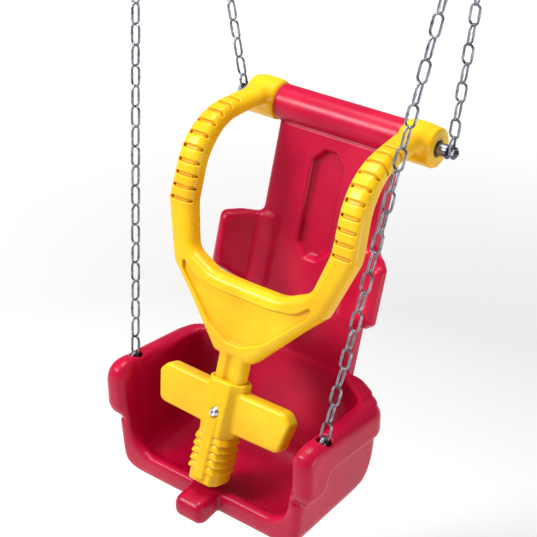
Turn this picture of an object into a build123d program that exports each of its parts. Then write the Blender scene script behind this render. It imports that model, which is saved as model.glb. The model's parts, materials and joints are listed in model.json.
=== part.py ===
from build123d import *
from math import cos, hypot, radians, sqrt, tan
import os

# Toddler bucket swing: a rotomoulded seat shell hung on four chains, with a
# lock-down harness that hinges about the bar at the top of the seat back.
# Row frame: origin midway between the two hanger pivots, X to the rider's left,
# Y to the rear, Z up.
# The seat and harness are drawn in the seat frame, whose origin lies midway
# between the two front chain eyes, and are then hung from the pivots.

# ---- driving dimensions (mm) ----
CHAIN_PITCH = 32.0
CHAIN_WIRE = 4.0
CHAIN_WIDTH = 18.5
FRONT_LINKS = 40
REAR_LINKS = 28
TWISTED_LINKS = 20          # upper rear links that turn a quarter turn in all
LINK_PLAY = 0.35            # clearance where a chain's end link bears

ARM_X = 191.0               # front chain eyes, from the middle
AXLE_Y = 311.0              # bar at the top of the back, in the seat frame
AXLE_Z = 365.0
BAR_OD = 21.3
BAR_WALL = 2.8
BAR_HALF = 194.5
ROD_D = 9.6
ROD_HALF = 207.0
NUT_IN = 203.2              # domed nuts on the rod's ends
NUT_OUT = 208.5
REAR_CHAIN_X = 199.5
HANGER_X = 325.0
CHAIN_SPREAD = 10.0         # each chain's offset from the middle of its shackle
HANG_TILT = 5.3             # puts the mass centre under the pivots
FIT = 0.05                  # radial running clearance of a bush

SHACKLE_WIRE = 8.0
SHACKLE_WIDTH = 34.0        # inside the bow
SHACKLE_LENGTH = 44.0       # pin axis to the top of the bow's wire
PIN_D = 10.0
PENDULUM_LENGTH = 46.0      # pivot axis to shackle pin axis
PENDULUM_THICK = 18.0
BUSH_WALL = 3.0
CHEEK_GAP = 20.0
CHEEK_THICK = 5.0
PLATE_LENGTH = 110.0
PLATE_DEPTH = 44.0
PLATE_RISE = 34.0           # pivot axis to the underside of the plate
PLATE_HOLE_X = 42.0
PLATE_HOLE_D = 11.0

WALL = 24.0                 # seat wall, a double skin in the real moulding
SEAT_HALF = 198.0
SEAT_FRONT = -58.0
SEAT_REAR = 190.0
SEAT_BOTTOM = -200.0
LIP_TOP = -152.0
ARM_OUT = 208.0
ARM_IN = 169.0
LOBE_FRONT = -66.0
BACK_LEAN = 17.3
BACK_FOOT_Y = 177.0         # front face of the back at the height of the eyes
BACK_HALF = 110.5
BACK_THICK = 38.0
BACK_TOP = 378.0            # along the back
ROLL_R = 30.0
ROLL_HALF = 120.5
RECESS_HALF = 33.0
RECESS_LOW = 152.0
RECESS_HIGH = 338.0
RECESS_DEPTH = 14.0
WING_ROOT = (75.0, 201.0)   # low and high ends, along the back
WING_TIP = (109.0, 191.0)
BLOCK_HALF = 26.5
POST_HALF = 9.5
POST_THICK = 14.0
POST_FOOT = -168.0          # along the stem's axis
POST_TOP = -122.0
EYE_POCKET_R = 13.0

HARNESS_LEAN = 19.0
HARNESS_Y = 7.3             # middle of the stem at the height of the eyes
HARNESS_THICK = 34.0
HOOK_Z = 380.0              # height of the arms where they leave the sleeves
HOOK_R = 95.0
HOOK_THINNING = 8.0         # less thickness over the shoulders
SHIELD_FOOT = 50.0
SLEEVE_R = 32.5
SLEEVE_IN = 121.2
SLEEVE_OUT = 178.0
STEM_HALF = 26.0
STEM_THICK = 28.0
STEM_FOOT = -78.0           # the latch is set out along the stem's axis
LATCH_TRAVEL = 28.0
LATCH_TOP = 25.0
LATCH_FOOT = -151.0
LATCH_HALF = 34.0
LATCH_REAR = 23.0           # rear face, and front face at the top and the foot
LATCH_FRONT = -25.0
LATCH_TOE = -38.0
LATCH_PLAY = 0.6
BOLT_SEAT = -28.2           # spot face under the bolt's head
BOLT_END = 37.0
GRIP_HALF = 132.0
GRIP_THICK = 30.0
FIN_COUNT = 5
FIN_PITCH = 11.0
FIN_TOP = -68.0
BOLT_Z = -27.0
BOLT_D = 10.0
SLOT_WIDTH = 10.6
SPRING_RADIUS = 4.0
SPRING_WIRE = 1.2
SPRING_TURNS = 14
SPRING_LENGTH = 76.0

os.makedirs("parts", exist_ok=True)


# ---- drawing helpers ----
def outline(plane, corners):
    """Closed face on a plane from (u, v, corner radius) triples."""
    points = [(u, v) for u, v, _ in corners]
    radii = [radius for _, _, radius in corners]
    return plane * make_face(FilletPolyline(*points, radius=radii, close=True))


def slab(plane, corners, thickness):
    """Outline on a plane, drawn out along the plane's normal."""
    return extrude(outline(plane, corners), amount=thickness, dir=plane.z_dir)


def both_sides(corners):
    """Mirror right-hand corners, listed from top to bottom, about the middle."""
    return corners + [(-u, v, radius) for u, v, radius in reversed(corners)]


def side_prism(corners, x_from, x_to):
    """Outline in Y-Z, drawn out along X."""
    return slab(Plane.YZ.offset(x_from), corners, x_to - x_from)


def front_prism(corners, y_from, y_to):
    """Outline in X-Z, drawn out along Y."""
    plane = Plane(origin=(0, y_to, 0), x_dir=(1, 0, 0), z_dir=(0, -1, 0))
    return slab(plane, corners, y_to - y_from)


def plan_prism(corners, z_from, z_to):
    """Outline in X-Y, drawn out along Z."""
    return slab(Plane.XY.offset(z_from), corners, z_to - z_from)


def bar_x(radius, x_from, x_to, y=0.0, z=0.0):
    """Round bar along X."""
    middle = (x_from + x_to) / 2
    return Pos(middle, y, z) * Rot(Y=90) * Cylinder(radius, x_to - x_from)


def tube_x(outer, inner, x_from, x_to, y=0.0, z=0.0):
    """Round tube along X."""
    return bar_x(outer, x_from, x_to, y, z) - bar_x(inner, x_from - 1, x_to + 1, y, z)


def hex_x(across_flats, x_from, x_to, y=0.0, z=0.0):
    """Hexagonal bar along X."""
    plane = Plane(origin=(x_from, y, z), x_dir=(0, 1, 0), z_dir=(1, 0, 0))
    face = plane * RegularPolygon(across_flats / 2, 6, major_radius=False)
    return extrude(face, amount=x_to - x_from)


def save(name, shape):
    export_step(shape, f"parts/{name}.step")


def save_group(name, shapes):
    """Several separate solids of one kind in one node."""
    export_step(Compound(children=list(shapes)), f"parts/{name}.step")


# ---- where the swing hangs ----
def chain_meet():
    """Seat-frame Y and Z of the point where a side's two chains meet."""
    front_y, front_z = 0.0, 0.0
    rear_y, rear_z = AXLE_Y, AXLE_Z - ROD_D / 2
    front_dx = HANGER_X + CHAIN_SPREAD - ARM_X
    rear_dx = HANGER_X - CHAIN_SPREAD - REAR_CHAIN_X
    front_reach = sqrt((FRONT_LINKS * CHAIN_PITCH - 2 * LINK_PLAY) ** 2 - front_dx ** 2)
    rear_reach = sqrt((REAR_LINKS * CHAIN_PITCH - 2 * LINK_PLAY) ** 2 - rear_dx ** 2)
    span = hypot(rear_y - front_y, rear_z - front_z)
    along = (front_reach ** 2 - rear_reach ** 2 + span ** 2) / (2 * span)
    across = sqrt(front_reach ** 2 - along ** 2)
    unit_y = (rear_y - front_y) / span
    unit_z = (rear_z - front_z) / span
    return along * unit_y - across * unit_z, along * unit_z + across * unit_y


MEET_Y, MEET_Z = chain_meet()
MEET_DROP = PENDULUM_LENGTH + SHACKLE_LENGTH
HANG = Pos(0, 0, -MEET_DROP) * Rot(X=HANG_TILT) * Pos(0, -MEET_Y, -MEET_Z)
BACK = Pos(0, BACK_FOOT_Y, 0) * Rot(X=-BACK_LEAN)
STEM = Pos(0, HARNESS_Y, 0) * Rot(X=-HARNESS_LEAN)


# ---- seat shell ----
def bucket():
    """Seat pan with its side walls, low front lip and rear wall."""
    side = side_prism([(SEAT_FRONT, -6, 8), (SEAT_REAR - 4, -6, 8),
                       (142, SEAT_BOTTOM, 72), (SEAT_FRONT, SEAT_BOTTOM, 24)], -220, 220)
    front = front_prism(both_sides([(SEAT_HALF + 2, 4, 1), (SEAT_HALF - 6, -62, 30),
                                    (SEAT_HALF - 20, SEAT_BOTTOM - 1, 42)]), -100, 220)
    plan = plan_prism(both_sides([(128, SEAT_REAR, 18), (SEAT_HALF + 2, 148, 40),
                                  (SEAT_HALF + 2, SEAT_FRONT, 26)]), -230, 20)
    return side & front & plan


def bucket_cavity():
    """Space for the child, open at the top."""
    foot = SEAT_BOTTOM + WALL
    lean = tan(radians(BACK_LEAN))
    side = side_prism([(SEAT_FRONT + WALL, 40, 1), (BACK_FOOT_Y + 40 * lean, 40, 1),
                       (BACK_FOOT_Y + foot * lean, foot, 55), (SEAT_FRONT + WALL, foot, 18)],
                      -220, 220)
    front = front_prism(both_sides([(ARM_IN + 5, 60, 1), (SEAT_HALF - WALL - 4, -62, 30),
                                    (SEAT_HALF - WALL - 20, foot - 1, 46)]), -100, 220)
    plan = plan_prism(both_sides([(111, 215, 1), (111, 168, 12), (ARM_IN + 6, 128, 36),
                                  (ARM_IN + 6, SEAT_FRONT, 1)]), -230, 80)
    return side & front & plan


def front_opening():
    """Gap between the arms for the legs, down to the lip."""
    return front_prism(both_sides([(ARM_IN + 3, 40, 1), (SEAT_HALF - WALL - 6, -62, 30),
                                   (SEAT_HALF - WALL - 18, LIP_TOP, 44)]), -120, -20)


def armrests():
    """Rounded armrests that end in deep lobes at the front."""
    side = side_prism([(LOBE_FRONT, 12, 36), (176, -20, 12), (176, -76, 12), (6, -62, 12),
                       (-8, -94, 22), (LOBE_FRONT, -94, 34)], -230, 230)
    arm = [(ARM_OUT, LOBE_FRONT, 14), (ARM_OUT, 146, 34), (116, 192, 6),
           (106, 158, 6), (ARM_IN, 116, 34), (ARM_IN, LOBE_FRONT, 14)]
    right = plan_prism(arm, -150, 40) & side
    return right + mirror(right, Plane.YZ)


def back_panel():
    """Reclined back with the roll that carries the bar."""
    foot = 40 + SEAT_BOTTOM / cos(radians(BACK_LEAN))
    panel = Pos(0, BACK_THICK / 2, (BACK_TOP + foot) / 2) * Box(
        2 * BACK_HALF, BACK_THICK, BACK_TOP - foot)
    panel = fillet(panel.edges().filter_by(Axis.Z), 12)
    return BACK * (panel - back_recess()) + bar_x(ROLL_R, -ROLL_HALF, ROLL_HALF, AXLE_Y, AXLE_Z)


def back_recess():
    """Long eight-cornered recess in the face of the back."""
    corner = 22.0
    return front_prism(both_sides([
        (RECESS_HALF - corner, RECESS_HIGH, 4), (RECESS_HALF, RECESS_HIGH - corner, 4),
        (RECESS_HALF, RECESS_LOW + corner, 4), (RECESS_HALF - corner, RECESS_LOW, 4)]),
        -1, RECESS_DEPTH)


def side_wing():
    """Right-hand wing that turns out and forward from the back."""
    plan = plan_prism([(92, -1, 1), (106, -1, 10), (150, -51, 7), (168, -37, 9),
                       (118, 22, 8), (92, 22, 1)], WING_ROOT[0] - 10, WING_ROOT[1] + 10)
    side = side_prism([(30, WING_ROOT[1], 1), (-20, WING_ROOT[1], 20), (-54, WING_TIP[1], 22),
                       (-54, WING_TIP[0], 20), (0, WING_ROOT[0], 20), (30, WING_ROOT[0], 1)],
                      80, 190)
    return BACK * (plan & side)


def latch_block():
    """Block on the front lip, with the post that the T-handle drops over."""
    block = side_prism([(-105, -150, 12), (-34, -147, 6), (-34, -188, 4), (-105, -195, 14)],
                       -BLOCK_HALF, BLOCK_HALF)
    post = Pos(0, 0, (POST_FOOT + POST_TOP) / 2) * Box(
        2 * POST_HALF, POST_THICK, POST_TOP - POST_FOOT)
    return block + STEM * post


def eye_pocket(sign):
    """Pocket in the top of an armrest with the hole for the moulded-in insert."""
    pocket = Pos(sign * ARM_X, 0, 4) * Cylinder(EYE_POCKET_R, 44)
    insert = Pos(sign * ARM_X, 0, -38) * Cylinder(10, 40)
    return pocket + insert


def seat_shell():
    shell = bucket() + armrests() + back_panel()
    wing = side_wing()
    shell = shell - bucket_cavity() - front_opening()
    shell = shell + wing + mirror(wing, Plane.YZ) + latch_block()
    bore = bar_x(BAR_OD / 2, -ROLL_HALF - 5, ROLL_HALF + 5, AXLE_Y, AXLE_Z)
    return shell - eye_pocket(1) - eye_pocket(-1) - bore


# ---- hardware on the seat ----
def front_eyebolt(sign):
    """Eyebolt whose ring stands fore and aft, screwed into the insert."""
    wire, inside = 6.0, 5.6
    ring = Rot(Y=90) * Torus(inside + wire / 2, wire / 2)
    shank = Pos(0, 0, -inside - wire - 17) * Cylinder(4.95, 38)
    return Pos(sign * ARM_X, 0, -inside) * (ring + shank)


def anchor_insert(sign):
    """Threaded steel insert moulded into an armrest."""
    body = Cylinder(10, 40) + Pos(0, 0, 17) * Cylinder(10, 6)
    bore = Pos(0, 0, 2) * Cylinder(5, 38)
    return Pos(sign * ARM_X, 0, -38) * (body - bore)


def axle_tube():
    return tube_x(BAR_OD / 2, BAR_OD / 2 - BAR_WALL, -BAR_HALF, BAR_HALF, AXLE_Y, AXLE_Z)


def axle_rod():
    """Threaded rod through the bar that holds the rear chains."""
    return bar_x(ROD_D / 2, -ROD_HALF, ROD_HALF, AXLE_Y, AXLE_Z)


def rod_washer(sign):
    """Washer between the bar's end and the chain link."""
    inner, outer = sorted((sign * BAR_HALF, sign * (BAR_HALF + 2)))
    return tube_x(12, ROD_D / 2, inner, outer, AXLE_Y, AXLE_Z)


def rod_nut(sign):
    """Domed nut outside the chain link."""
    inner, outer = sorted((sign * NUT_IN, sign * NUT_OUT))
    dome = Pos(sign * NUT_OUT, AXLE_Y, AXLE_Z) * Sphere(5)
    nut = hex_x(17, inner, outer, AXLE_Y, AXLE_Z) + dome
    return nut - axle_rod()


def sleeve_bush(sign):
    """Nylon bush pressed in a harness sleeve, running on the bar."""
    bore = BAR_OD / 2 + FIT
    inner, outer = sorted((sign * SLEEVE_IN, sign * SLEEVE_OUT))
    return tube_x(bore + 3, bore, inner, outer, AXLE_Y, AXLE_Z)


# ---- harness ----
def stem_line(z, offset):
    """Y of the line parallel to the stem, set back from its axis by an offset."""
    lean = radians(HARNESS_LEAN)
    return HARNESS_Y + z * tan(lean) + offset / cos(lean)


def harness_side():
    """Side view of the harness: level over the shoulders, then down the chest."""
    half = HARNESS_THICK / 2
    top, under, foot = HOOK_Z + half, HOOK_Z - half + HOOK_THINNING, SHIELD_FOOT
    return side_prism([(AXLE_Y, top, 0), (stem_line(top, -half), top, HOOK_R + half),
                       (stem_line(foot, -half), foot, 0), (stem_line(foot, half), foot, 0),
                       (stem_line(under, half), under, HOOK_R - half), (AXLE_Y, under, 0)],
                      -200, 200)


def harness_front():
    """Front view of the harness: horseshoe arms that join in a shield."""
    outer = both_sides([(172, 420, 0), (179, 285, 60), (156, 205, 30), (143, 168, 14),
                        (110, 136, 20), (34, 58, 14)])
    inner = both_sides([(130, 430, 0), (134, 262, 90), (115, 197, 24), (66, 175, 60)])
    return front_prism(outer, -60, 340) - front_prism(inner, -70, 350)


def harness_plan():
    """Plan of the arms, which stand in from the sleeves' outer ends."""
    return plan_prism(both_sides([(162, 330, 0), (162, 262, 50), (174, 200, 30), (181, 110, 30),
                                  (181, -60, 0)]), 30, 440)


def shield_panel():
    """Shallow crescent-shaped recess in the face of the shield."""
    front = -HARNESS_THICK / 2
    return STEM * front_prism(both_sides([(60, 168, 60), (126, 196, 5), (126, 184, 5),
                                          (26, 92, 30)]), front - 2, front + 4)


def stem():
    """Stem below the shield, slotted for the T-handle's bolt and spring."""
    head = 90.0
    bar = Pos(0, 0, (head + STEM_FOOT) / 2) * Box(2 * STEM_HALF, STEM_THICK, head - STEM_FOOT)
    bar = fillet(bar.edges().filter_by(Axis.Z), 6)
    low = BOLT_Z - SLOT_WIDTH / 2
    high = BOLT_Z + LATCH_TRAVEL + SLOT_WIDTH / 2
    bolt_slot = Pos(0, 0, (low + high) / 2) * Box(SLOT_WIDTH, 2 * STEM_THICK, high - low)
    crown = BOLT_Z + BOLT_D / 2 + SPRING_LENGTH
    chamber = Pos(0, 4, (high + crown) / 2 - 2) * Box(SLOT_WIDTH, 22, crown - high + 4)
    groove = Pos(0, -STEM_THICK / 2, 50) * Box(9, 8, 44)
    return STEM * (bar - bolt_slot - chamber - groove)


def harness_frame():
    frame = harness_front() & harness_side() & harness_plan()
    frame = frame - shield_panel()
    for sign in (1, -1):
        inner, outer = sorted((sign * SLEEVE_IN, sign * SLEEVE_OUT))
        frame = frame + bar_x(SLEEVE_R, inner, outer, AXLE_Y, AXLE_Z)
    frame = frame + stem()
    return frame - bar_x(BAR_OD / 2 + FIT + 3, -SLEEVE_OUT - 5, SLEEVE_OUT + 5, AXLE_Y, AXLE_Z)


# ---- latch on the stem ----
def latch_barrel():
    """Sleeve of the T-handle, ribbed below the grips."""
    side = side_prism([(LATCH_FRONT, LATCH_TOP, 2), (LATCH_REAR, LATCH_TOP, 2),
                       (LATCH_REAR, LATCH_FOOT, 8), (LATCH_TOE, LATCH_FOOT, 8)],
                      -LATCH_HALF, LATCH_HALF)
    plan = plan_prism(both_sides([(LATCH_HALF, LATCH_REAR, 12), (LATCH_HALF, -12, 14),
                                  (18, LATCH_TOE, 4)]), LATCH_FOOT - 1, LATCH_TOP + 1)
    barrel = side & plan
    for sign in (1, -1):
        for index in range(FIN_COUNT):
            z = FIN_TOP - index * FIN_PITCH
            barrel = barrel - Pos(sign * 32, -6, z) * Box(8, 38, 4)
    return barrel


def latch_grips():
    """The two grips of the T."""
    half = GRIP_THICK / 2
    return front_prism(both_sides([(GRIP_HALF - 5, 12, 12), (GRIP_HALF, -4, 10),
                                   (GRIP_HALF - 12, -55, 12), (20, -60, 2)]), -half, half)


def t_handle():
    """T-shaped sleeve that slides on the stem and drops over the seat's post."""
    channel_foot = STEM_FOOT - LATCH_TRAVEL - 1
    top = LATCH_TOP + 5
    channel = Pos(0, 0, (top + channel_foot) / 2) * Box(
        2 * (STEM_HALF + LATCH_PLAY), STEM_THICK + 2 * LATCH_PLAY, top - channel_foot)
    width = 2 * (POST_HALF + 1)
    front = -POST_THICK / 2 - 1.5
    rear = LATCH_REAR + 5
    slot_top = POST_TOP + 10
    slot = Pos(0, (front + rear) / 2, (slot_top + LATCH_FOOT - 5) / 2) * Box(
        width, rear - front, slot_top - LATCH_FOOT + 5)
    bolt_hole = Pos(0, 0, BOLT_Z) * Rot(X=90) * Cylinder(BOLT_D / 2 + 0.05, 90)
    spot_face = Pos(0, BOLT_SEAT - 5, BOLT_Z) * Rot(X=90) * Cylinder(9.5, 10)
    return STEM * (latch_barrel() + latch_grips() - channel - slot - bolt_hole - spot_face)


def t_handle_bolt():
    """Button-head bolt across the latch, through the slot in the stem."""
    shank = Pos(0, (BOLT_SEAT + BOLT_END) / 2, BOLT_Z) * Rot(X=90) * Cylinder(
        BOLT_D / 2, BOLT_END - BOLT_SEAT)
    head = Pos(0, BOLT_SEAT - 2.7, BOLT_Z) * Rot(X=90) * Cone(8.75, 5.5, 5.4)
    socket = Pos(0, BOLT_SEAT - 2.5, BOLT_Z) * Rot(X=90) * extrude(
        RegularPolygon(3, 6, major_radius=False), amount=4)
    return STEM * (shank + head - socket)


def t_handle_nut():
    """Washer and lock nut behind the latch."""
    washer = Pos(0, LATCH_REAR + 1, BOLT_Z) * Rot(X=90) * Cylinder(10, 2)
    nut = Plane(origin=(0, LATCH_REAR + 2, BOLT_Z), x_dir=(1, 0, 0), z_dir=(0, 1, 0)) * extrude(
        RegularPolygon(8.5, 6, major_radius=False), amount=9)
    hole = Pos(0, LATCH_REAR + 5, BOLT_Z) * Rot(X=90) * Cylinder(BOLT_D / 2 + 0.02, 24)
    return STEM * (washer + nut - hole)


def t_handle_spring():
    """Compression spring between the bolt and the top of the stem's chamber."""
    foot = BOLT_Z + BOLT_D / 2 + SPRING_WIRE / 2
    height = SPRING_LENGTH - SPRING_WIRE
    coil = Helix(height / SPRING_TURNS, height, SPRING_RADIUS)
    start = Plane(origin=coil @ 0, z_dir=coil % 0)
    spring = sweep(start * Circle(SPRING_WIRE / 2), path=coil, is_frenet=True)
    return STEM * Pos(0, 0, foot) * spring


# ---- chains ----
def chain_link():
    """One welded link, its long side on Z and its width on X."""
    path = SlotOverall(CHAIN_PITCH + CHAIN_WIRE, CHAIN_WIDTH - CHAIN_WIRE).wire()
    start = Plane(origin=path @ 0, z_dir=path % 0)
    link = sweep(start * Circle(CHAIN_WIRE / 2), path=path)
    return Rot(X=90) * Rot(Z=90) * link


def chain(start, end, count, first_turn, twisted):
    """Links set alternately across each other from a low point to a high point."""
    link = chain_link()
    direction = (end - start).normalized()
    lateral = (Vector(1, 0, 0) - direction * direction.X).normalized()
    links = []
    for index in range(count):
        middle = start + direction * ((index + 0.5) * CHAIN_PITCH - LINK_PLAY)
        turn = first_turn + 90 * (index % 2)
        if twisted:
            turn += 90 * max(0, index + 1 + TWISTED_LINKS - count) / TWISTED_LINKS
        place = Location(Plane(origin=middle, x_dir=lateral, z_dir=direction))
        links.append(HANG * place * Rot(Z=turn) * link)
    return links


def front_chain(sign):
    start = Vector(sign * ARM_X, 0, 0)
    end = Vector(sign * (HANGER_X + CHAIN_SPREAD), MEET_Y, MEET_Z)
    return chain(start, end, FRONT_LINKS, 0, False)


def rear_chain(sign):
    start = Vector(sign * REAR_CHAIN_X, AXLE_Y, AXLE_Z - ROD_D / 2)
    end = Vector(sign * (HANGER_X - CHAIN_SPREAD), MEET_Y, MEET_Z)
    return chain(start, end, REAR_LINKS, 90, True)


# ---- hangers, drawn about their own pivot ----
def shackle():
    """Wide bow shackle that gathers a side's two chains."""
    reach = SHACKLE_WIDTH / 2 + SHACKLE_WIRE / 2
    low = -MEET_DROP - SHACKLE_WIRE / 2
    bend = FilletPolyline((-reach, -PENDULUM_LENGTH), (-reach, low), (reach, low),
                          (reach, -PENDULUM_LENGTH), radius=[10, 10])
    path = Plane.XZ * bend
    start = Plane(origin=path @ 0, z_dir=path % 0)
    bow = sweep(start * Circle(SHACKLE_WIRE / 2), path=path)
    for side in (-reach, reach):
        bow = bow + bar_x(10, side - 4.5, side + 4.5, 0, -PENDULUM_LENGTH)
    return bow - bar_x(PIN_D / 2 + 0.05, -40, 40, 0, -PENDULUM_LENGTH)


def shackle_pin():
    """Pin across the shackle with a round head and a nut."""
    reach = SHACKLE_WIDTH / 2 + SHACKLE_WIRE / 2 + 4.5
    pin = bar_x(PIN_D / 2, -reach - 1, reach + 11, 0, -PENDULUM_LENGTH)
    head = bar_x(8.5, -reach - 6, -reach, 0, -PENDULUM_LENGTH)
    return pin + head + hex_x(17, reach, reach + 8, 0, -PENDULUM_LENGTH)


def pendulum():
    """Flat swinging link between the hanger's pivot and the shackle."""
    half = PENDULUM_THICK / 2
    body = side_prism([(-15, 16, 14), (15, 16, 14), (14, -PENDULUM_LENGTH - 14, 13),
                       (-14, -PENDULUM_LENGTH - 14, 13)], -half, half)
    body = body - bar_x(PIN_D / 2 + FIT + BUSH_WALL, -20, 20)
    return body - bar_x(PIN_D / 2 + 0.05, -20, 20, 0, -PENDULUM_LENGTH)


def pendulum_bush():
    """Nylon bush that the pendulum turns on."""
    bore = PIN_D / 2 + FIT
    return tube_x(bore + BUSH_WALL, bore, -CHEEK_GAP / 2 + 0.3, CHEEK_GAP / 2 - 0.3)


def hanger_bracket():
    """Top plate with two cheeks, bolted under the beam."""
    plate = Pos(0, 0, PLATE_RISE + 3) * Box(PLATE_LENGTH, PLATE_DEPTH, 6)
    plate = fillet(plate.edges().filter_by(Axis.Z), 8)
    inner = CHEEK_GAP / 2
    cheek = side_prism([(-20, PLATE_RISE + 1, 0), (20, PLATE_RISE + 1, 0), (15, -15, 13),
                        (-15, -15, 13)], inner, inner + CHEEK_THICK)
    bracket = plate + cheek + mirror(cheek, Plane.YZ) - bar_x(PIN_D / 2 + 0.02, -30, 30)
    for side in (-PLATE_HOLE_X, PLATE_HOLE_X):
        bracket = bracket - Pos(side, 0, PLATE_RISE) * Cylinder(PLATE_HOLE_D / 2, 30)
    return bracket


def hanger_pin():
    """Bolt that the pendulum and its bush turn on."""
    reach = CHEEK_GAP / 2 + CHEEK_THICK
    return bar_x(PIN_D / 2, -reach - 1, reach + 13) + hex_x(17, -reach - 6.5, -reach)


def hanger_nut():
    reach = CHEEK_GAP / 2 + CHEEK_THICK
    return hex_x(17, reach, reach + 9) - bar_x(PIN_D / 2 + 0.02, 0, 60)


def both(make):
    """Left and right copies of a seat-frame piece, hung from the pivots."""
    return [HANG * make(1), HANG * make(-1)]


save("seat_shell", HANG * seat_shell())
save_group("anchor_inserts", both(anchor_insert))
save_group("front_eyebolts", both(front_eyebolt))
save("axle_tube", HANG * axle_tube())
save("axle_rod", HANG * axle_rod())
save_group("axle_washers", both(rod_washer))
save_group("axle_cap_nuts", both(rod_nut))
save("harness_frame", HANG * harness_frame())
save("t_handle", HANG * t_handle())
save("t_handle_bolt", HANG * t_handle_bolt())
save("t_handle_nut", HANG * t_handle_nut())
save("t_handle_spring", HANG * t_handle_spring())
for side, sign in (("left", 1), ("right", -1)):
    hanger = Pos(sign * HANGER_X, 0, 0)
    save(f"sleeve_bush_{side}", HANG * sleeve_bush(sign))
    save_group(f"front_chain_{side}", front_chain(sign))
    save_group(f"rear_chain_{side}", rear_chain(sign))
    save(f"shackle_{side}", hanger * shackle())
    save(f"shackle_pin_{side}", hanger * shackle_pin())
    save(f"pendulum_{side}", hanger * pendulum())
    save(f"pendulum_bush_{side}", hanger * pendulum_bush())
    save(f"hanger_bracket_{side}", hanger * hanger_bracket())
    save(f"hanger_pin_{side}", hanger * hanger_pin())
    save(f"hanger_nut_{side}", hanger * hanger_nut())
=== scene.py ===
import json
import bpy
import numpy as np
from math import acos, ceil, cos, hypot, pi, radians, sin, sqrt, tan
from mathutils import Matrix, Vector


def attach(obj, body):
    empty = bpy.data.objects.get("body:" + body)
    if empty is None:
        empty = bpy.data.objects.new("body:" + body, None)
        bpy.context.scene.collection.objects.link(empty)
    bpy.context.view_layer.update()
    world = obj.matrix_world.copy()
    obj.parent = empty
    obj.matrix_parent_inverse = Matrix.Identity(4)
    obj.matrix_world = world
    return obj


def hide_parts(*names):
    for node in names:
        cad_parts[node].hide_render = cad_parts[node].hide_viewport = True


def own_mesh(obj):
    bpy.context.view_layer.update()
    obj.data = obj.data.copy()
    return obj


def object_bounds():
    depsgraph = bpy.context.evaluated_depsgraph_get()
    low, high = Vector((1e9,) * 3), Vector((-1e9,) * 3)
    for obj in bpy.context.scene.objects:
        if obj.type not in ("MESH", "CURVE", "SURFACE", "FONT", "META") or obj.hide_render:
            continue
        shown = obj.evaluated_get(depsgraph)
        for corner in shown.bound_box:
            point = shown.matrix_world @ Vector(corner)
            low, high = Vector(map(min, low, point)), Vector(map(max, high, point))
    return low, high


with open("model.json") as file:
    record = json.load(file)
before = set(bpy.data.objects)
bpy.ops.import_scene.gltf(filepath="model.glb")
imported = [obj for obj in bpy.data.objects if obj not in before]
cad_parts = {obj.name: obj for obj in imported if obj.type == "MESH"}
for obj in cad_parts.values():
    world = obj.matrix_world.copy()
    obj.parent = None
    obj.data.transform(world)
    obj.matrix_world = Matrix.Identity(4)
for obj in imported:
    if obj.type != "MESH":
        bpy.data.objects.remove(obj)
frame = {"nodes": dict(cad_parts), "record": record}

# Looks of the bucket swing. Shapes are worked out in the seat frame in millimetres
# (origin midway between the front chain eyes, X to the rider's left, Y to the rear,
# Z up) and hung into the model's frame, in metres, at the end.

CAD_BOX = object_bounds()
NODES = frame["nodes"]

# ---- dimensions shared with the model (mm) ----
PITCH, WIRE, LINK_WIDTH = 32.0, 4.0, 18.5
FRONT_LINKS, REAR_LINKS, TWISTED_LINKS, PLAY = 40, 28, 20, 0.35
ARM_X, AXLE_Y, AXLE_Z, ROD_D = 191.0, 311.0, 365.0, 9.6
REAR_CHAIN_X, HANGER_X, SPREAD = 199.5, 325.0, 10.0
DROP, TILT = 90.0, 5.3
BACK_LEAN, BACK_FOOT, BACK_HALF, BACK_THICK = 17.3, 177.0, 110.5, 38.0
ROLL_R, ROLL_HALF, BAR_BORE = 30.0, 120.5, 10.65
BLOCK_HALF = 27.5
POST_HALF, POST_THICK, POST_FOOT, POST_TOP = 9.5, 14.0, -168.0, -122.0
LEAN, STEM_Y, HOOK_Z, HOOK_R = 19.0, 7.3, 380.0, 95.0
HARNESS_HALF = 17.0         # half the harness's thickness
SLEEVE_R, SLEEVE_IN, SLEEVE_OUT, SLEEVE_BORE = 32.5, 121.2, 178.0, 13.7
STEM_HALF, STEM_THICK, STEM_FOOT, STEM_HEAD = 26.0, 28.0, -78.0, 78.0
LATCH_TOP, LATCH_FOOT, LATCH_PLAY = 25.0, -151.0, 0.6
LATCH_REAR, LATCH_FRONT, LATCH_TOE, GRIP_THICK = 23.0, -25.0, -38.0, 30.0
BOLT_Z, BOLT_D, BOLT_SEAT, BOLT_SLOT_HALF, TRAVEL = -27.0, 10.0, -28.2, 5.3, 28.0
SPRING_LENGTH, SPRING_R, SPRING_WIRE, SPRING_TURNS = 76.0, 4.0, 1.2, 14


def chain_meet():
    """Seat-frame Y and Z where a side's two chains meet on the shackle."""
    front_dx = HANGER_X + SPREAD - ARM_X
    rear_dx = HANGER_X - SPREAD - REAR_CHAIN_X
    rear_z = AXLE_Z - ROD_D / 2
    front_reach = sqrt((FRONT_LINKS * PITCH - 2 * PLAY) ** 2 - front_dx ** 2)
    rear_reach = sqrt((REAR_LINKS * PITCH - 2 * PLAY) ** 2 - rear_dx ** 2)
    span = hypot(AXLE_Y, rear_z)
    along = (front_reach ** 2 - rear_reach ** 2 + span ** 2) / (2 * span)
    across = sqrt(front_reach ** 2 - along ** 2)
    unit_y, unit_z = AXLE_Y / span, rear_z / span
    return along * unit_y - across * unit_z, along * unit_z + across * unit_y


MEET_Y, MEET_Z = chain_meet()
HANG = (Matrix.Translation((0, 0, -DROP / 1000)) @ Matrix.Rotation(radians(TILT), 4, "X")
        @ Matrix.Translation((0, -MEET_Y / 1000, -MEET_Z / 1000)))


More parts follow.
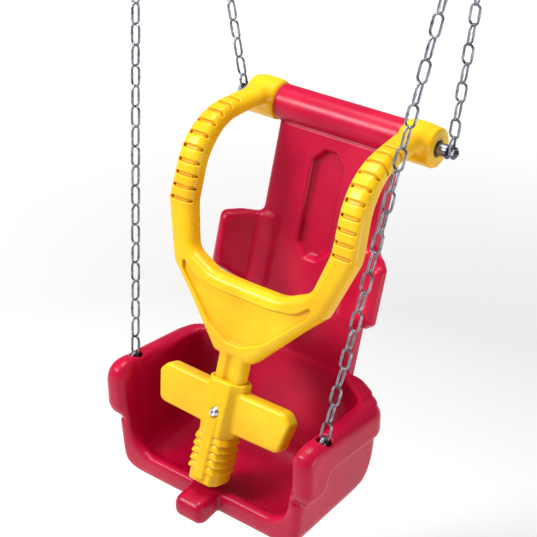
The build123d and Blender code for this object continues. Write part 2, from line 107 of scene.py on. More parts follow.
def hang(points):
    """Seat-frame millimetres to model metres, for an array of points."""
    m = np.array(HANG)
    return (points / 1000) @ m[:3, :3].T + m[:3, 3]


# ---- signed distance fields ----
def carve(a, b, r):
    """Both a and b, with their shared edge rounded to radius r."""
    p, q = a + r, b + r
    return np.minimum(np.maximum(p, q), 0) + np.hypot(np.maximum(p, 0), np.maximum(q, 0)) - r


def join(a, b, r):
    """Either a or b, with a fillet of radius r between them."""
    return -carve(-a, -b, r)


def filleted(corners, steps=7):
    """Points of a closed outline whose corners (u, v, radius) are rounded."""
    points = []
    count = len(corners)
    for i, (u, v, radius) in enumerate(corners):
        here = np.array((u, v), float)
        before = np.array(corners[i - 1][:2], float) - here
        after = np.array(corners[(i + 1) % count][:2], float) - here
        reach = min(np.linalg.norm(before), np.linalg.norm(after))
        before /= np.linalg.norm(before)
        after /= np.linalg.norm(after)
        half = acos(max(-1.0, min(1.0, float(before @ after)))) / 2
        tangent = min(radius / tan(half), 0.5 * reach)
        real = tangent * tan(half)
        bisector = before + after
        if radius <= 1 or np.linalg.norm(bisector) < 1e-6:
            points.append(here)
            continue
        centre = here + bisector / np.linalg.norm(bisector) * (real / sin(half))
        start, end = here + before * tangent - centre, here + after * tangent - centre
        for t in np.linspace(0, 1, steps):
            arm = start * (1 - t) + end * t
            points.append(centre + arm / np.linalg.norm(arm) * real)
    return np.array(points)


class Outline:
    """Signed distance to a rounded outline, looked up on a fine grid."""
    STEP = 1.0

    def __init__(self, *corners, margin=45):
        shape = filleted(corners)
        self.low = shape.min(axis=0) - margin
        size = shape.max(axis=0) + margin - self.low
        nu, nv = (np.ceil(size / self.STEP).astype(int) + 1)
        u = self.low[0] + np.arange(nu) * self.STEP
        v = self.low[1] + np.arange(nv) * self.STEP
        U, V = np.meshgrid(u, v, indexing="ij")
        nearest = np.full(U.shape, 1e12)
        inside = np.zeros(U.shape, bool)
        for a, b in zip(shape, np.roll(shape, -1, axis=0)):
            edge = b - a
            length = max(float(edge @ edge), 1e-12)
            du, dv = U - a[0], V - a[1]
            t = np.clip((du * edge[0] + dv * edge[1]) / length, 0, 1)
            nearest = np.minimum(nearest, (du - t * edge[0]) ** 2 + (dv - t * edge[1]) ** 2)
            if a[1] != b[1]:
                crosses = (a[1] > V) != (b[1] > V)
                inside ^= crosses & (du < edge[0] * dv / edge[1])
        self.grid = (np.sqrt(nearest) * np.where(inside, -1, 1)).astype(np.float32)

    def __call__(self, u, v):
        """Distance at points, growing with the gap where they are off the grid."""
        nu, nv = self.grid.shape
        fu, fv = (u - self.low[0]) / self.STEP, (v - self.low[1]) / self.STEP
        cu, cv = np.clip(fu, 0, nu - 1.001), np.clip(fv, 0, nv - 1.001)
        i, j = cu.astype(np.int32), cv.astype(np.int32)
        s, t = cu - i, cv - j
        g = self.grid
        value = ((g[i, j] * (1 - s) + g[i + 1, j] * s) * (1 - t)
                 + (g[i, j + 1] * (1 - s) + g[i + 1, j + 1] * s) * t)
        return value + np.hypot(fu - cu, fv - cv) * self.STEP


def between(value, low, high):
    """Distance to a slab."""
    return np.abs(value - (low + high) / 2) - (high - low) / 2


def turned(y, z, foot_y, lean):
    """Offset behind, and height along, a line that leans back from (foot_y, 0)."""
    c, s = cos(radians(lean)), sin(radians(lean))
    return (y - foot_y) * c - z * s, (y - foot_y) * s + z * c


# ---- meshing ----
BLOCK = 8


def sampled(field, low, step, blocks):
    """Field on a grid, worked out only near the surface."""
    size = BLOCK * step
    centres = [low[a] + (np.arange(blocks[a]) + 0.5) * size for a in range(3)]
    X, Y, Z = np.meshgrid(*centres, indexing="ij")
    rough = field(X.ravel(), Y.ravel(), Z.ravel()).reshape(blocks)
    near = np.abs(rough) < size * 0.5 * sqrt(3) * 1.35 + 2 * step
    values = np.repeat(np.repeat(np.repeat(
        np.where(rough < 0, -99, 99).astype(np.float32), BLOCK, 0), BLOCK, 1), BLOCK, 2)
    offset = np.arange(BLOCK) * step
    OX, OY, OZ = (o.ravel() for o in np.meshgrid(offset, offset, offset, indexing="ij"))
    active = np.argwhere(near)
    for part in np.array_split(active, max(1, len(active) // 700)):
        corner = np.array(low) + part * size
        x = corner[:, 0:1] + OX
        y = corner[:, 1:2] + OY
        z = corner[:, 2:3] + OZ
        found = field(x.ravel(), y.ravel(), z.ravel()).reshape(-1, BLOCK, BLOCK, BLOCK)
        for (i, j, k), block in zip(part * BLOCK, found):
            values[i:i + BLOCK, j:j + BLOCK, k:k + BLOCK] = block
    return values


def surface_net(values, low, step):
    """Vertices and quads of the zero surface of a sampled field."""
    inside = values < 0
    count = np.zeros(tuple(n - 1 for n in values.shape), np.int8)
    corners = [(i, j, k) for i in (0, 1) for j in (0, 1) for k in (0, 1)]
    for i, j, k in corners:
        count += inside[i:i + count.shape[0], j:j + count.shape[1], k:k + count.shape[2]]
    cells = np.argwhere((count > 0) & (count < 8))
    total = np.zeros((len(cells), 3))
    hits = np.zeros(len(cells))
    for a in corners:
        for axis in range(3):
            if a[axis]:
                continue
            b = list(a)
            b[axis] = 1
            va = values[tuple((cells + a).T)]
            vb = values[tuple((cells + b).T)]
            cross = (va < 0) != (vb < 0)
            t = np.where(cross, va / np.where(cross, va - vb, 1), 0)
            point = np.array(a, float) + np.zeros((len(cells), 3))
            point[:, axis] = t
            total += np.where(cross[:, None], point, 0)
            hits += cross
    verts = np.array(low) + (cells + total / hits[:, None]) * step
    index = np.full(count.shape, -1, np.int64)
    index[tuple(cells.T)] = np.arange(len(cells))
    quads = []
    for axis in range(3):
        u, v = (axis + 1) % 3, (axis + 2) % 3
        here = [slice(1, -1)] * 3
        there = [slice(1, -1)] * 3
        here[axis], there[axis] = slice(0, -1), slice(1, None)
        change = np.argwhere(inside[tuple(here)] != inside[tuple(there)])
        shift = np.array([1, 1, 1])
        shift[axis] = 0
        edge = change + shift
        outward = inside[tuple(edge.T)]
        ring = []
        for du, dv in ((-1, -1), (0, -1), (0, 0), (-1, 0)):
            cell = edge.copy()
            cell[:, u] += du
            cell[:, v] += dv
            ring.append(index[tuple(cell.T)])
        ring = np.stack(ring, 1)
        quads.append(np.where(outward[:, None], ring, ring[:, ::-1]))
    return verts, np.concatenate(quads)


def settle(field, verts, step, rounds=3):
    """Move vertices onto the field's zero surface."""
    e = 0.25
    for _ in range(rounds):
        x, y, z = verts.T
        d = field(x, y, z)
        g = np.stack([field(x + e, y, z) - field(x - e, y, z),
                      field(x, y + e, z) - field(x, y - e, z),
                      field(x, y, z + e) - field(x, y, z - e)], 1) / (2 * e)
        move = -d[:, None] * g / np.maximum((g * g).sum(1), 0.25)[:, None]
        verts = verts + np.clip(move, -step * 0.6, step * 0.6)
    return verts


def relax(verts, quads, amount):
    """Even out the quads by moving each vertex towards its neighbours."""
    total = np.zeros_like(verts)
    count = np.zeros(len(verts))
    for i in range(4):
        a, b = quads[:, i], quads[:, (i + 1) % 4]
        for axis in range(3):
            total[:, axis] += np.bincount(a, verts[b, axis], len(verts))
            total[:, axis] += np.bincount(b, verts[a, axis], len(verts))
        count += np.bincount(a, minlength=len(verts)) + np.bincount(b, minlength=len(verts))
    return verts + amount * (total / count[:, None] - verts)


def mesh_object(name, verts, faces, material, body):
    """Smooth-shaded object from arrays, riding on a body."""
    mesh = bpy.data.meshes.new(name)
    mesh.vertices.add(len(verts))
    mesh.vertices.foreach_set("co", np.asarray(verts, np.float32).ravel())
    width = faces.shape[1]
    mesh.loops.add(len(faces) * width)
    mesh.loops.foreach_set("vertex_index", faces.astype(np.int32).ravel())
    mesh.polygons.add(len(faces))
    mesh.polygons.foreach_set("loop_start", np.arange(0, len(faces) * width, width, dtype=np.int32))
    mesh.polygons.foreach_set("use_smooth", np.ones(len(faces), bool))
    mesh.update(calc_edges=True)
    mesh.materials.append(material)
    piece = bpy.data.objects.new(name, mesh)
    bpy.context.scene.collection.objects.link(piece)
    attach(piece, body)
    return piece


def sculpt(name, field, low, high, step, material, body, node):
    """Piece meshed from a field, in place of a CAD node."""
    blocks = tuple(int(ceil((h - l) / (step * BLOCK))) for l, h in zip(low, high))
    values = sampled(field, low, step, blocks)
    verts, quads = surface_net(values, low, step)
    for _ in range(2):
        verts = relax(verts, quads, 0.5)
        verts = settle(field, verts, step, 2)
    piece = mesh_object(name, hang(verts), quads, material, body)
    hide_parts(node)
    return piece


# ---- materials ----
def new_material(name):
    """Node material, its tree and its shader."""
    material = bpy.data.materials.new(name)
    material.use_nodes = True
    tree = material.node_tree
    return material, tree, tree.nodes["Principled BSDF"]


def noise(tree, scale, detail=2.0, rough=0.5, stretch=None):
    """Noise over the object's own coordinates."""
    coords = tree.nodes.new("ShaderNodeTexCoord")
    texture = tree.nodes.new("ShaderNodeTexNoise")
    texture.inputs["Scale"].default_value = scale
    texture.inputs["Detail"].default_value = detail
    texture.inputs["Roughness"].default_value = rough
    if stretch:
        mapping = tree.nodes.new("ShaderNodeMapping")
        mapping.inputs["Scale"].default_value = stretch
        mapping.inputs["Rotation"].default_value = (0.3, 0.2, 0.5)
        tree.links.new(coords.outputs["Object"], mapping.inputs["Vector"])
        tree.links.new(mapping.outputs["Vector"], texture.inputs["Vector"])
    else:
        tree.links.new(coords.outputs["Object"], texture.inputs["Vector"])
    return texture.outputs["Fac"]


def ramp(tree, value, *stops):
    """Colour ramp through (position, colour) stops."""
    node = tree.nodes.new("ShaderNodeValToRGB")
    band = node.color_ramp
    while len(band.elements) < len(stops):
        band.elements.new(0.5)
    for element, (position, colour) in zip(band.elements, stops):
        element.position = position
        element.color = (*colour, 1.0)
    tree.links.new(value, node.inputs["Fac"])
    return node.outputs["Color"]


def spread(tree, value, low, high, start=0.3, end=0.7):
    """Map a value onto a range."""
    node = tree.nodes.new("ShaderNodeMapRange")
    node.inputs["From Min"].default_value = start
    node.inputs["From Max"].default_value = end
    node.inputs["To Min"].default_value = low
    node.inputs["To Max"].default_value = high
    tree.links.new(value, node.inputs["Value"])
    return node.outputs["Result"]


def mix(tree, factor, a, b):
    """Colour a to colour b by a factor socket."""
    node = tree.nodes.new("ShaderNodeMix")
    node.data_type = "RGBA"
    tree.links.new(factor, node.inputs["Factor"])
    for socket, value in ((node.inputs["A"], a), (node.inputs["B"], b)):
        if isinstance(value, tuple):
            socket.default_value = (*value, 1.0)
        else:
            tree.links.new(value, socket)
    return node.outputs["Result"]


def bump(tree, shader, height, strength, distance, below=None):
    """Bump on a shader, over another bump if one is given."""
    node = tree.nodes.new("ShaderNodeBump")
    node.inputs["Strength"].default_value = strength
    node.inputs["Distance"].default_value = distance
    tree.links.new(height, node.inputs["Height"])
    if below:
        tree.links.new(below, node.inputs["Normal"])
    tree.links.new(node.outputs["Normal"], shader.inputs["Normal"])
    return node.outputs["Normal"]


def edge_paling_and_painted_shade(tree):
    """Value above a half on convex edges and below a half in creases."""
    geometry = tree.nodes.new("ShaderNodeNewGeometry")
    return geometry.outputs["Pointiness"]


def moulded(name, painted_shade_colour, deep, mid, pale, rough):
    """Glossy rotomoulded plastic: convex edges paler, painted shade in creases, orange peel and light
    scuffs.
    """
    material, tree, shader = new_material(name)
    cloud = noise(tree, 9.0, 3.0)
    body = ramp(tree, cloud, (0.30, deep), (0.52, mid), (0.72, pale))
    speck = noise(tree, 900.0, 1.0)
    speckled = mix(tree, spread(tree, speck, 0.0, 0.10, 0.62, 0.75), body, pale)
    # Convex edges are made paler.
    paler_edges = mix(tree, spread(tree, edge_paling_and_painted_shade(tree), 0.0, 0.5, 0.52, 0.62), speckled, pale)
    # Painted shade: the colour is darkened in creases, where shade falls.
    shaded = mix(tree, spread(tree, edge_paling_and_painted_shade(tree), 0.75, 0.0, 0.42, 0.495), paler_edges, painted_shade_colour)
    tree.links.new(shaded, shader.inputs["Base Color"])
    scuff = noise(tree, 30.0, 4.0, 0.6, (1.0, 1.0, 5.0))
    tree.links.new(spread(tree, scuff, rough, rough + 0.12, 0.45, 0.85),
                   shader.inputs["Roughness"])
    shader.inputs["IOR"].default_value = 1.43
    shader.inputs["Specular IOR Level"].default_value = 0.26
    shader.inputs["Coat Weight"].default_value = 0.05
    shader.inputs["Coat Roughness"].default_value = 0.18
    shader.inputs["Subsurface Weight"].default_value = 0.06
    shader.inputs["Subsurface Radius"].default_value = (0.006, 0.002, 0.001)
    peel = bump(tree, shader, noise(tree, 260.0, 2.0), 0.10, 0.0006)
    bump(tree, shader, noise(tree, 22.0, 1.0), 0.18, 0.0010, peel)
    return material


def metal(name, dark, light, rough, streak=(1.0, 1.0, 1.0), spots=0.0):
    """Zinc plated steel with a cloudy finish and dulled patches."""
    material, tree, shader = new_material(name)
    cloud = noise(tree, 90.0, 4.0, 0.6, streak)
    plate = ramp(tree, cloud, (0.35, dark), (0.65, light))
    grime = spread(tree, noise(tree, 35.0, 5.0, 0.65), 0.0, spots, 0.48, 0.7)
    tree.links.new(mix(tree, grime, plate, (0.05, 0.04, 0.035)), shader.inputs["Base Color"])
    shader.inputs["Metallic"].default_value = 1.0
    tree.links.new(spread(tree, cloud, rough, rough + 0.2), shader.inputs["Roughness"])
    bump(tree, shader, noise(tree, 700.0, 2.0), 0.12, 0.0003)
    return material


# The first colour of each is the painted shade laid into creases.
RED = moulded("moulded_red", (0.20, 0.0, 0.015), (0.37, 0.0, 0.028), (0.45, 0.001, 0.034),
              (0.54, 0.008, 0.045), 0.31)
YELLOW = moulded("moulded_yellow", (0.62, 0.24, 0.004), (0.77, 0.39, 0.006), (0.81, 0.47, 0.009),
                 (0.87, 0.58, 0.016), 0.27)
ZINC = metal("galvanised_steel", (0.13, 0.14, 0.17), (0.34, 0.36, 0.41), 0.26, spots=0.5)
BRIGHT = metal("bright_steel", (0.52, 0.54, 0.58), (0.80, 0.82, 0.86), 0.16, spots=0.15)
DARK = metal("dark_steel", (0.06, 0.065, 0.08), (0.16, 0.17, 0.20), 0.30, spots=0.3)


def nylon():
    """Black nylon with a faint turned texture."""
    material, tree, shader = new_material("black_nylon")
    cloud = noise(tree, 60.0, 3.0)
    tree.links.new(ramp(tree, cloud, (0.3, (0.012, 0.012, 0.014)), (0.7, (0.03, 0.03, 0.034))),
                   shader.inputs["Base Color"])
    tree.links.new(spread(tree, cloud, 0.42, 0.62), shader.inputs["Roughness"])
    bump(tree, shader, noise(tree, 300.0, 3.0, 0.6, (12.0, 1.0, 1.0)), 0.2, 0.0003)
    return material


NYLON = nylon()

# ---- seat shell ----
BUCKET_SIDE = Outline((-58, 20, 1), (192, 20, 1), (142, -200, 72), (-58, -200, 26))
BUCKET_FRONT = Outline((-60, 40, 1), (200, 40, 1), (192, -62, 30), (178, -200, 44), (-60, -200, 1))
BUCKET_PLAN = Outline((-60, 190, 1), (128, 190, 20), (200, 148, 44), (200, -58, 28), (-60, -58, 1))
CAVITY_SIDE = Outline((-34, 90, 1), (205, 90, 1), (122, -176, 55), (-34, -176, 22))
CAVITY_FRONT = Outline((-60, 90, 1), (176, 90, 1), (170, -62, 30), (154, -176, 48), (-60, -176, 1))
CAVITY_PLAN = Outline((-60, 240, 1), (111, 240, 1), (111, 168, 14), (175, 128, 38),
                      (175, -120, 1), (-60, -120, 1))
OPENING = Outline((-60, 60, 1), (172, 60, 1), (168, -62, 30), (156, -152, 46), (-60, -152, 1))
ARM_SIDE = Outline((-66, 12, 36), (178, -20, 14), (178, -76, 12), (6, -62, 12), (-8, -94, 24),
                   (-66, -94, 34))
ARM_PLAN = Outline((208, -66, 18), (208, 146, 38), (116, 192, 10), (106, 158, 8), (169, 116, 36),
                   (169, -66, 16))
RECESS = Outline((-60, 338, 1), (11, 338, 6), (33, 316, 8), (33, 174, 8), (11, 152, 6),
                 (-60, 152, 1))
WING_PLAN = Outline((80, -1, 1), (106, -1, 14), (150, -51, 10), (168, -37, 10), (118, 22, 8),
                    (80, 22, 1))
WING_SIDE = Outline((34, 201, 1), (-14, 201, 24), (-54, 191, 32), (-54, 109, 28), (0, 75, 24),
                    (34, 75, 1))
EYE_POCKET_R, INSERT_BORE_R = 12.0, 10.0
BLOCK_SIDE = Outline((-105, -150, 16), (-34, -147, 6), (-34, -188, 4), (-105, -195, 20))


def pan_and_arms(x, y, z):
    """Bucket and armrests with the space inside them taken out."""
    shell = carve(carve(BUCKET_SIDE(y, z), BUCKET_FRONT(x, z), 14), BUCKET_PLAN(x, y), 8)
    shell = carve(shell, z + 10, 6)
    under_arm = ARM_SIDE(y, z)
    fold = carve(between(under_arm, 0.5, 7), -(shell + 4), 1.5)
    shell = carve(shell, -carve(fold, 172 - x, 2), 3)
    arm = carve(under_arm, ARM_PLAN(x, y), 17)
    shell = join(shell, arm, 2.5)
    cavity = carve(carve(CAVITY_SIDE(y, z), CAVITY_FRONT(x, z), 16), CAVITY_PLAN(x, y), 10)
    shell = carve(shell, -cavity, 7)
    opening = carve(OPENING(x, z), between(y, -140, -14), 2)
    return carve(shell, -opening, 11)


def back(x, y, z):
    """Leaning back with its roll, wings and recess."""
    yb, zb = turned(y, z, BACK_FOOT, BACK_LEAN)
    panel = carve(carve(x - BACK_HALF, between(yb, 0, BACK_THICK), 12), between(zb, -215, 384), 2)
    wing = carve(WING_PLAN(x, yb), WING_SIDE(yb, zb), 8)
    panel = join(panel, wing, 14)
    recess = carve(RECESS(x, zb) + 0.45 * yb + 0.5, between(yb, -20, 13), 4)
    panel = carve(panel, -recess, 3.5)
    radial = np.hypot(y - AXLE_Y, z - AXLE_Z)
    roll = carve(radial - ROLL_R, x - ROLL_HALF, 3)
    gap = carve(between(zb, 360.5, 367), between(yb, -20, 3.5), 1.5)
    return join(carve(panel, -gap, 1.5), roll, 1)


def seat_field(x, y, z):
    """Whole seat moulding, the same on both sides."""
    x = np.abs(x)
    shell = join(pan_and_arms(x, y, z), back(x, y, z), 7)
    block = carve(BLOCK_SIDE(y, z), x - BLOCK_HALF, 12)
    shell = join(shell, block, 4)
    ys, zs = turned(y, z, STEM_Y, LEAN)
    post = carve(carve(x - POST_HALF, np.abs(ys) - POST_THICK / 2, 2),
                 between(zs, POST_FOOT, POST_TOP), 3)
    shell = join(shell, post, 2)
    from_eye = np.hypot(x - ARM_X, y)
    pocket = carve(from_eye - EYE_POCKET_R, between(z, -18, 60), 1)
    insert_bore = carve(from_eye - INSERT_BORE_R, between(z, -58, 0), 1)
    shell = carve(carve(shell, -pocket, 4), -insert_bore, 0.5)
    bore = np.hypot(y - AXLE_Y, z - AXLE_Z) - BAR_BORE
    return carve(shell, -bore, 1)


# ---- harness ----
BEND = radians(90 - LEAN)
CORNER_S = HOOK_Z / cos(radians(LEAN))
BEND_S = CORNER_S - HOOK_R * tan(BEND / 2)
BEND_END_Y = STEM_Y + HOOK_Z * tan(radians(LEAN)) + HOOK_R * tan(BEND / 2)
HORSESHOE = Outline((-60, 600, 1), (166, 600, 1), (168, 500, 60), (173, 430, 60),
                    (181, 275, 50), (159, 212, 30), (147, 178, 16), (110, 142, 24),
                    (36, 62, 16), (-60, 62, 1))
OPEN_SHAPE = Outline((-60, 610, 1), (124, 610, 1), (125, 505, 40), (132, 440, 50),
                     (134, 277, 90), (115, 208, 26), (66, 185, 60), (-60, 183, 1))
PANEL = Outline((-60, 161, 1), (50, 161, 40), (98, 168, 40), (128, 192, 5), (123, 172, 14),
                (52, 104, 8), (16, 86, 12), (-60, 86, 1))
SLOT_COUNT, SLOT_PITCH, SLOT_FIRST = 10, 20.4, 278.0
SLOT_X, SLOT_HALF, SLOT_RADIUS, SLOT_DEPTH = 154.0, 16.0, 3.0, 5.6
FRONT_EDGE, REAR_EDGE, PANEL_FLOOR = 14.0, 9.0, -10.6
THIN_FROM, THIN_OVER, HOOK_THINNING = 380.0, 90.0, 8.0


def along_harness(y, z):
    """Length along the harness and depth behind its middle surface."""
    n1, s1 = turned(y, z, STEM_Y, LEAN)
    ahead, aside = s1 - BEND_S, n1 - HOOK_R
    turn = np.arctan2(ahead, -aside)
    in_bend = (ahead > 0) & (turn < BEND)
    level = (ahead > 0) & ~in_bend
    s = np.where(in_bend, BEND_S + HOOK_R * turn, s1)
    s = np.where(level, BEND_S + HOOK_R * BEND + y - BEND_END_Y, s)
    n = np.where(in_bend, HOOK_R - np.hypot(ahead, aside), n1)
    n = np.where(level, HOOK_Z - z, n)
    return s, n


def grip_slots(x, s, n, skin):
    """Finger grooves across the front of each arm, cut to an even depth below its skin."""
    index = np.clip(np.round((s - SLOT_FIRST) / SLOT_PITCH), 0, SLOT_COUNT - 1)
    across = s - SLOT_FIRST - index * SLOT_PITCH
    beyond = np.maximum(np.abs(x - SLOT_X) - SLOT_HALF, 0)
    groove = np.maximum(np.hypot(across, beyond) - SLOT_RADIUS, n - 4)
    return carve(groove, -(skin + SLOT_DEPTH), 1.4)


def harness_field(x, y, z):
    """Arms, shield, sleeves and stem in one moulding, the same on both sides."""
    x = np.abs(x)
    s, n = along_harness(y, z)
    shape = carve(HORSESHOE(x, s), -OPEN_SHAPE(x, s), 4)
    edge = np.where(n < 0, FRONT_EDGE, REAR_EDGE)
    thinned = np.clip((s - THIN_FROM) / THIN_OVER, 0, 1)
    rear = HARNESS_HALF - HOOK_THINNING * thinned
    frame_shape = carve(shape, np.where(n < 0, -n - HARNESS_HALF, n - rear), edge)
    panel = carve(PANEL(x, s) + 0.10 * (n + HARNESS_HALF) - 0.6, between(n, -40, PANEL_FLOOR), 1.0)
    slots = grip_slots(x, s, n, frame_shape)
    frame_shape = carve(frame_shape, -panel, 0.9)
    frame_shape = carve(frame_shape, -slots, 1.0)
    frame_shape = carve(frame_shape, y - AXLE_Y - 5, 2)
    radial = np.hypot(y - AXLE_Y, z - AXLE_Z)
    sleeve = carve(radial - SLEEVE_R, between(x, SLEEVE_IN, SLEEVE_OUT), 4)
    frame_shape = join(frame_shape, sleeve, 15)
    ys, zs = turned(y, z, STEM_Y, LEAN)
    stem = carve(carve(x - STEM_HALF, np.abs(ys) - STEM_THICK / 2, 9),
                 between(zs, STEM_FOOT, STEM_HEAD), 2)
    crease = np.hypot(x, ys + 16.5) - 7.0
    stem = carve(stem, -carve(crease, 4 - zs, 2), 3)
    frame_shape = join(frame_shape, stem, 2.5)
    bolt_slot = carve(x - BOLT_SLOT_HALF,
                      between(zs, BOLT_Z - BOLT_SLOT_HALF, BOLT_Z + TRAVEL + BOLT_SLOT_HALF), 1)
    spring_top = BOLT_Z + BOLT_D / 2 + SPRING_LENGTH
    chamber = carve(carve(x - BOLT_SLOT_HALF, between(ys, -5.4, 15), 1),
                    between(zs, BOLT_Z + TRAVEL + 2, spring_top), 1)
    frame_shape = carve(carve(frame_shape, -bolt_slot, 0.5), -chamber, 0.5)
    return carve(frame_shape, SLEEVE_BORE - radial, 1)


# ---- latch ----
BARREL = Outline((-50, -23, 1), (18, -23, 6), (34, -8, 8), (34, 13, 9), (22, 23, 7), (-50, 23, 1))
CORE = Outline((-50, -21, 1), (20, -21, 8), (28.5, -12, 9), (28.5, 14, 10), (17, 22.5, 8),
               (-50, 22.5, 1))
GRIPS = Outline((-60, 10.5, 1), (118, 12.5, 16), (132, -4, 12), (121, -55, 14), (-60, -60, 1))
FIN_TOP, FIN_PITCH, FIN_BAND, FIN_REACH, FIN_COUNT = -68.0, 12.4, 9.8, 4.2, 5


def fins(core, front, z):
    """Overhanging bands round the lower barrel, flat at its front."""
    nearest = np.floor((FIN_TOP - z) / FIN_PITCH)
    bands = None
    for offset in (-1, 0, 1):
        top = FIN_TOP - FIN_PITCH * np.clip(nearest + offset, 0, FIN_COUNT - 1)
        skin = (core - 0.5 - FIN_REACH * np.clip((top - z) / FIN_BAND, 0, 1)) * 0.85
        band = carve(skin, between(z, top - FIN_BAND, top), 0.9)
        bands = band if bands is None else np.minimum(bands, band)
    return carve(bands, front, 1.5)


def latch_field(x, y, z):
    """T-handle with its channel for the stem and its slot for the seat's post."""
    x = np.abs(x)
    ys, zs = turned(y, z, STEM_Y, LEAN)
    length = LATCH_TOP - LATCH_FOOT
    drop = np.clip(LATCH_TOP - zs, 0, length)
    flare = (-LATCH_FRONT + (LATCH_FRONT - LATCH_TOE) * drop / length) / LATCH_REAR
    yf = np.where(ys < 0, ys / flare, ys)
    upper = carve(BARREL(x, yf), between(zs, -66, LATCH_TOP), 3)
    core = CORE(x, yf)
    tail = carve(core, between(zs, LATCH_FOOT, -40), 8)
    body = join(join(upper, tail, 2), fins(core, -22.6 - yf, zs), 1)
    spine = carve(carve(x - 10, between(yf, -24.5, 0), 4), between(zs, -143, -30), 6)
    body = join(body, spine, 2)
    grips = carve(GRIPS(x, zs), np.abs(ys) - GRIP_THICK / 2, 7)
    body = join(body, grips, 3.5)
    channel = carve(carve(x - (STEM_HALF + LATCH_PLAY),
                          np.abs(ys) - (STEM_THICK / 2 + LATCH_PLAY), 5),
                    between(zs, STEM_FOOT - TRAVEL - 1, 60), 1)
    slot = carve(carve(x - (POST_HALF + 1), between(ys, -POST_THICK / 2 - 1.5, 40), 1),
                 between(zs, -200, POST_TOP + 10), 1)
    from_bolt = np.hypot(x, zs - BOLT_Z)
    spot_face = carve(from_bolt - 9.5, ys - BOLT_SEAT, 1)
    hole = join(from_bolt - (BOLT_D / 2 + 0.05), spot_face, 0.5)
    body = carve(carve(body, -channel, 1.5), -slot, 1.5)
    return carve(body, -hole, 0.6)


# ---- chain links ----
BEAD, BEAD_REACH = 0.55, 1.7


def link_mesh(sides=12, bend_steps=9):
    """Welded link about its own middle: long side on Z, width on X, weld bead on one side."""
    radius = (LINK_WIDTH - WIRE) / 2
    straight = PITCH / 2 - radius
    path = []
    for t in np.linspace(0, pi, bend_steps):
        path.append((radius * cos(t), straight + radius * sin(t), 0.0))
    for z in np.linspace(straight, -straight, 9)[1:-1]:
        path.append((-radius, z, BEAD * np.exp(-(z / BEAD_REACH) ** 2)))
    for t in np.linspace(pi, 2 * pi, bend_steps):
        path.append((radius * cos(t), -straight + radius * sin(t), 0.0))
    for z in np.linspace(-straight, straight, 5)[1:-1]:
        path.append((radius, z, 0.0))
    path = np.array(path)
    count = len(path)
    centre = path[:, :2]
    tangent = np.roll(centre, -1, 0) - np.roll(centre, 1, 0)
    tangent /= np.linalg.norm(tangent, axis=1)[:, None]
    normal = np.stack([tangent[:, 1], -tangent[:, 0]], 1)
    verts = []
    for i in range(count):
        size = WIRE / 2 + path[i, 2]
        for a in np.arange(sides) * 2 * pi / sides:
            out = size * cos(a)
            verts.append((centre[i, 0] + normal[i, 0] * out, size * sin(a),
                          centre[i, 1] + normal[i, 1] * out))
    faces = []
    for i in range(count):
        for j in range(sides):
            k, l = (i + 1) % count, (j + 1) % sides
            faces.append((i * sides + j, k * sides + j, k * sides + l, i * sides + l))
    return np.array(verts), np.array(faces)


LINK_VERTS, LINK_FACES = link_mesh()


def chain(name, start, end, count, first_turn, twisted, node):
    """Chain of links from a low point to a high point, in place of a CAD chain."""
    start, end = np.array(start, float), np.array(end, float)
    direction = (end - start) / np.linalg.norm(end - start)
    lateral = np.array((1.0, 0, 0)) - direction * direction[0]
    lateral /= np.linalg.norm(lateral)
    third = np.cross(direction, lateral)
    verts, faces = [], []
    for index in range(count):
        turn = first_turn + 90 * (index % 2)
        if twisted:
            turn += 90 * max(0, index + 1 + TWISTED_LINKS - count) / TWISTED_LINKS
        c, s = cos(radians(turn)), sin(radians(turn))
        flip = 1 if index % 3 else -1
        x, y, z = LINK_VERTS[:, 0] * flip, LINK_VERTS[:, 1] * flip, LINK_VERTS[:, 2]
        middle = start + direction * ((index + 0.5) * PITCH - PLAY)
        verts.append(middle + np.outer(x * c - y * s, lateral) + np.outer(x * s + y * c, third)
                     + np.outer(z, direction))
        faces.append(LINK_FACES + index * len(LINK_VERTS))
    piece = mesh_object(name, hang(np.concatenate(verts)), np.concatenate(faces), ZINC, "swing")
    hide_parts(node)


def on_stem(points):
    """Points with Z along the stem's axis to the seat frame."""
    c, s = cos(radians(LEAN)), sin(radians(LEAN))
    x, y, z = points[:, 0], points[:, 1], points[:, 2]
    return np.stack([x, STEM_Y + y * c + z * s, z * c - y * s], 1)


def coil(name, foot, height, radius, wire, turns, body, node):
    """Spring along the stem with a closed turn at each end, in place of the CAD spring."""
    sides = 8
    t = np.linspace(0, turns, turns * 20 + 1)
    closing = wire * 1.05
    open_turns = (height - 2 * closing) / (turns - 2)
    rise = (np.minimum(t, 1) * closing + np.clip(t - 1, 0, turns - 2) * open_turns
            + np.maximum(t - turns + 1, 0) * closing)
    around = np.arange(sides) * 2 * pi / sides
    reach = radius + wire / 2 * np.cos(around)
    turn = 2 * pi * t[:, None]
    verts = np.stack([np.cos(turn) * reach, np.sin(turn) * reach,
                      foot + rise[:, None] + wire / 2 * np.sin(around)], -1).reshape(-1, 3)
    last = (len(t) - 1) * sides
    faces = [(0, 3, 2, 1), (0, 7, 4, 3), (4, 7, 6, 5)]
    faces += [tuple(last + k for k in quad) for quad in ((0, 1, 2, 3), (0, 3, 4, 7), (4, 5, 6, 7))]
    for first in range(0, last, sides):
        for j in range(sides):
            k = (j + 1) % sides
            faces.append((first + j, first + k, first + sides + k, first + sides + j))
    piece = mesh_object(name, hang(on_stem(verts)), np.array(faces), BRIGHT, body)
    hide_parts(node)
    return piece


